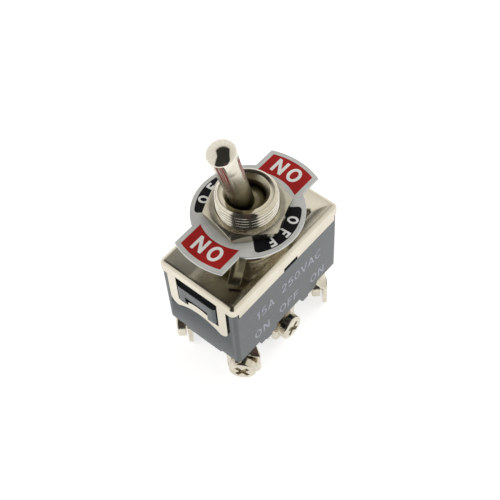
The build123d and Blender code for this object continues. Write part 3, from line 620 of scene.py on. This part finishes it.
def lever_profile():
    """Radius and height from the pivot, from the rivet's underside to the crown."""
    rivet_bottom = STEM_END - RIVET_H
    profile = [(0, rivet_bottom), (RIVET_R - RIVET_EDGE, rivet_bottom), (RIVET_R, rivet_bottom + RIVET_EDGE),
               (RIVET_R, STEM_END - RIVET_EDGE / 2), (RIVET_R - RIVET_EDGE, STEM_END), (STEM_R, STEM_END)]
    foot = math.asin(bat_radius(FOOT_H) / BALL_R)
    stem = math.pi - math.asin(STEM_R / BALL_R)
    turns = [stem - (stem - foot) * i / BALL_ROWS for i in range(BALL_ROWS + 1)]
    profile += [(BALL_R * math.sin(a), BALL_R * math.cos(a)) for a in turns]
    top_h, top_r = BAT[-1]
    rows = math.ceil((top_h - CROWN_EDGE - BAT_START) / BAT_STEP)
    heights = [BAT_START + BAT_STEP * i for i in range(rows)]
    profile += [(bat_radius(h), h) for h in heights]
    profile += [(top_r - 0.01, top_h - CROWN_EDGE / 2), (top_r - 0.05, top_h + 0.02)]
    crown_r = (top_r ** 2 + CROWN ** 2) / (2 * CROWN)
    edge = math.asin(top_r / crown_r) * 0.955
    turns = [edge * (1 - i / CROWN_ROWS) for i in range(1, CROWN_ROWS + 1)]
    return profile + [(crown_r * math.sin(a), top_h + CROWN - crown_r + crown_r * math.cos(a)) for a in turns]


def bat_lever():
    bm = bmesh.new()
    points = [bm.verts.new((r, 0, z)) for r, z in lever_profile()]
    edges = [bm.edges.new(pair) for pair in zip(points, points[1:])]
    bmesh.ops.spin(bm, geom=points + edges, cent=(0, 0, 0), axis=(0, 0, 1), angle=2 * math.pi,
                   steps=LEVER_STEPS, use_merge=True)
    bmesh.ops.remove_doubles(bm, verts=bm.verts, dist=1e-4)
    bm.transform(Matrix.Translation((0, 0, PIVOT_Z)) @ Matrix.Rotation(math.radians(-LEAN), 4, "Y"))
    return from_bmesh("bat_lever", bm, 40)


def polish_painted_shade():
    """Mirror bright at the crown, and darker and yellower towards the ball with painted shade."""
    material, tree, shader, coords = nodes_of("polish_painted_shade")
    axes = tree.nodes.new("ShaderNodeSeparateXYZ")
    tree.links.new(coords, axes.inputs[0])
    cloud = noise_node(tree, coords, 260.0, 5.0)
    rise = range_node(tree, axes.outputs["Z"], 0.0, 1.0, SHADE_FULL_BELOW * MM, SHADE_GONE_ABOVE * MM)
    rise = math_node(tree, "ADD", rise, range_node(tree, cloud, -0.2, 0.2), clamp=True)
    colour = ramp_node(tree, rise, [
        (0.0, (0.16, 0.14, 0.08)), (0.3, (0.36, 0.32, 0.22)),
        (0.6, (0.60, 0.55, 0.45)), (1.0, (0.76, 0.72, 0.63))])
    tree.links.new(colour, shader.inputs["Base Color"])
    tree.links.new(math_node(tree, "MULTIPLY_ADD", rise, -0.30, 0.35), shader.inputs["Roughness"])
    shader.inputs["Metallic"].default_value = 1.0
    bump_node(tree, shader, coords, 900, 0.05)
    return material


placed(bat_lever(), "lever", "nickelled_brass", polish_painted_shade(), "lever")

# ---- Mechanism ----
# A moulded nylon block on the lever's stem holds two hollow nylon plungers, each on a coil of steel
# wire. They tip two folded brass rockers, which carry riveted silver buttons down on to fixed ones. None
# of it shows, so each piece keeps its CAD shape.
NYLON = finish("white_nylon", (0.72, 0.71, 0.66), (0.82, 0.81, 0.77), 0.0, (0.35, 0.5), 1500, 0.2)
SPRING_STEEL = finish("spring_wire", (0.36, 0.36, 0.35), (0.50, 0.50, 0.49), 1.0, (0.2, 0.34), 1500, 0.2)
BRASS = finish("contact_brass", (0.60, 0.42, 0.17), (0.74, 0.56, 0.27), 1.0, (0.22, 0.38), 900, 0.2)
SILVER = finish("silver", (0.74, 0.73, 0.70), (0.86, 0.85, 0.83), 1.0, (0.18, 0.32), 900, 0.2)
dressed("actuator_carrier", "nylon_carrier", "lever", "white_nylon", NYLON, edge=0.06)
for side in ("left", "right"):
    plunger, rocker = f"plunger_{side}", f"rocker_{side}"
    dressed(plunger, f"nylon_{plunger}", plunger, "white_nylon", NYLON, edge=0.0)
    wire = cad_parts[f"plunger_spring_{side}"].data
    wire.materials.clear()
    wire.materials.append(SPRING_STEEL)
    dressed(f"contact_{rocker}", f"brass_{rocker}", rocker, "contact_brass", BRASS, edge=0.03)
    dressed(f"rocker_buttons_{side}", f"moving_contacts_{side}", rocker, "silver", SILVER, edge=0.0)
dressed("fixed_buttons", "fixed_contacts", "switch_body", "silver", SILVER, edge=0.03)

# ---- Terminals and screws ----
# Brass strip, nickel plated, pressed through the floor, twisted and tapped. Its pan-head screws have a
# cross recess and are backed off to take a wire.
STRIP_NICKEL = finish("nickelled_strip", (0.60, 0.55, 0.45), (0.76, 0.72, 0.62), 1.0, (0.15, 0.28),
                      700, 0.2, 160)
for row in ("left", "right"):
    for place in ("near", "middle", "far"):
        dressed(f"terminal_{row}_{place}", f"strip_{row}_{place}", "switch_body", "nickelled_brass",
                STRIP_NICKEL, edge=0.06)
dressed("terminal_screws", "pan_screws", "switch_body", "nickelled_steel", STRIP_NICKEL,
        edge=0.07, segments=3)

# ---- Floor ----
# A white table, wide enough to fill what the bright metal mirrors. It lies just under the terminals, and
# it looks white without throwing more light on them.
FLOOR_R = 3.0
FLOOR_Z = CAD_BOX[0][2] - 0.02 * MM
FLOOR_GREY, FLOOR_GLOW = 0.6, 0.68


def white_table():
    bm = bmesh.new()
    bmesh.ops.create_circle(bm, cap_ends=True, radius=FLOOR_R, segments=96)
    mesh = bpy.data.meshes.new("floor")
    bm.to_mesh(mesh)
    bm.free()
    floor = link("floor", mesh)
    floor.location.z = FLOOR_Z
    material, tree, shader, coords = nodes_of("white_floor")
    shader.inputs["Base Color"].default_value = (FLOOR_GREY, FLOOR_GREY, FLOOR_GREY, 1)
    shader.inputs["Roughness"].default_value = 0.9
    shader.inputs["Specular IOR Level"].default_value = 0.0
    shader.inputs["Emission Color"].default_value = (1, 1, 1, 1)
    path = tree.nodes.new("ShaderNodeLightPath")
    seen = math_node(tree, "ADD", path.outputs["Is Camera Ray"], path.outputs["Is Glossy Ray"])
    seen = math_node(tree, "ADD", seen, path.outputs["Is Transmission Ray"], clamp=True)
    tree.links.new(math_node(tree, "MULTIPLY", seen, FLOOR_GLOW), shader.inputs["Emission Strength"])
    mesh.materials.append(material)


white_table()

# ---- Room ----
# Bright all round and duller overhead, with faint folds in its white cloth. Somebody dark sits on the
# side that the switch is seen from, leaning over it, with one warm patch.
AZIMUTH = -46.203                   # degrees, the side that the switch is seen from
HAZE = [(0.0, (1.05, 1.05, 1.05)), (0.5, (1.0, 0.99, 0.96)),
        (0.8, (0.88, 0.86, 0.81)), (1.0, (0.72, 0.70, 0.64))]   # rise of the way, colour
FOLD_COUNT, FOLD_SHARE = 26.0, 0.05
SITTER_HALF, SITTER_LEAN, SITTER_CREST, SITTER_DARK = 0.43, 0.10, -0.625, 0.95
LAP_HALF, LAP_LEAN = 0.13, 0.10     # wider by this, and further over, below the shoulders
WARM_WAY, WARM_SPAN, WARM_COLOUR = (-0.553, -0.530, 0.643), 0.985, (2.4, 1.5, 1.3, 1)


def room():
    world = bpy.data.worlds.new("studio")
    bpy.context.scene.world = world
    world.use_nodes = True
    tree = world.node_tree
    background = tree.nodes["Background"]
    way = tree.nodes.new("ShaderNodeTexCoord").outputs["Generated"]

    def along(x, y, z):
        dot = tree.nodes.new("ShaderNodeVectorMath")
        dot.operation = "DOT_PRODUCT"
        tree.links.new(way, dot.inputs[0])
        dot.inputs[1].default_value = (x, y, z)
        return dot.outputs["Value"]

    a = math.radians(AZIMUTH)
    height = along(0, 0, 1)
    near, side = along(math.sin(a), -math.cos(a), 0), along(math.cos(a), math.sin(a), 0)
    turn = math_node(tree, "ARCTAN2", near, side)
    fold = math_node(tree, "SINE", math_node(tree, "MULTIPLY", turn, FOLD_COUNT))
    lap = range_node(tree, near, 0.0, 1.0, 0.05, 0.50)
    across = math_node(tree, "MULTIPLY_ADD", lap, LAP_LEAN, math_node(tree, "ADD", side, SITTER_LEAN))
    crest = math_node(tree, "MULTIPLY_ADD", times(tree, across, across), -1.1, near)
    span = math_node(tree, "DIVIDE", across, math_node(tree, "MULTIPLY_ADD", lap, LAP_HALF, SITTER_HALF))
    sitter = times(tree, above(tree, crest, SITTER_CREST, 0.075),
                   below(tree, math_node(tree, "ABSOLUTE", span), 1.0, 0.07),
                   above(tree, height, -0.02, 0.02))
    shade = math_node(tree, "SUBTRACT", 1.0, math_node(tree, "MULTIPLY", sitter, SITTER_DARK))
    shade = times(tree, shade, math_node(tree, "MULTIPLY_ADD", fold, FOLD_SHARE, 0.97))
    glow = tree.nodes.new("ShaderNodeMix")
    glow.data_type = "RGBA"
    glow.inputs["B"].default_value = WARM_COLOUR
    warm = times(tree, above(tree, along(*WARM_WAY), WARM_SPAN, 0.010), sitter)
    tree.links.new(warm, glow.inputs["Factor"])
    tree.links.new(ramp_node(tree, height, HAZE), glow.inputs["A"])
    tree.links.new(glow.outputs["Result"], background.inputs["Color"])
    tree.links.new(shade, background.inputs["Strength"])


room()

# ---- Lamps ----
# Two large soft discs, one each side, add a little direction to the light of the room. The metal doesn't
# mirror them, so they leave no round spots on it.
LAMP_DISTANCE, LAMP_SIZE = 0.8, 0.7


def way_to(azimuth, elevation):
    a, e = math.radians(azimuth), math.radians(elevation)
    return Vector((math.sin(a) * math.cos(e), -math.cos(a) * math.cos(e), math.sin(e)))


def lamp(name, azimuth, elevation, power):
    data = bpy.data.lights.new(name, "AREA")
    data.shape = "DISK"
    data.size = LAMP_SIZE
    data.energy = power
    disc = bpy.data.objects.new(name, data)
    bpy.context.scene.collection.objects.link(disc)
    disc.visible_glossy = False
    way = way_to(azimuth, elevation)
    disc.location = way * LAMP_DISTANCE
    disc.rotation_euler = way.to_track_quat("Z", "Y").to_euler()


lamp("key", -100, 55, 2.0)
lamp("fill", 60, 45, 1.6)

# ---- Camera ----
# It looks down on one corner of the switch from close by, through a long lens, held a little askew. It is
# aimed just above the near edge of the plate.
ELEVATION, ROLL = 54.885, -4.556
LOOK_AT = Vector((-7.219, -6.655, 7.860)) * MM
DISTANCE = 186.064 * MM
SENSOR, LENS = 36.0, 75.04          # as Blender counts them, in millimetres
NEAREST, FARTHEST = 0.005, 20.0     # metres


def camera():
    data = bpy.data.cameras.new("camera")
    data.sensor_width = SENSOR
    data.lens = LENS
    data.clip_start = NEAREST
    data.clip_end = FARTHEST
    view = bpy.data.objects.new("camera", data)
    bpy.context.scene.collection.objects.link(view)
    a, roll = math.radians(AZIMUTH), math.radians(ROLL)
    back = way_to(AZIMUTH, ELEVATION)
    right = Vector((math.cos(a), math.sin(a), 0))
    up = back.cross(right)
    x = math.cos(roll) * right + math.sin(roll) * up
    y = -math.sin(roll) * right + math.cos(roll) * up
    turn = Matrix((x, y, back)).transposed()
    view.matrix_world = Matrix.Translation(LOOK_AT + back * DISTANCE) @ turn.to_4x4()
    bpy.context.scene.camera = view


camera()
bpy.context.scene.view_settings.view_transform = "Standard"
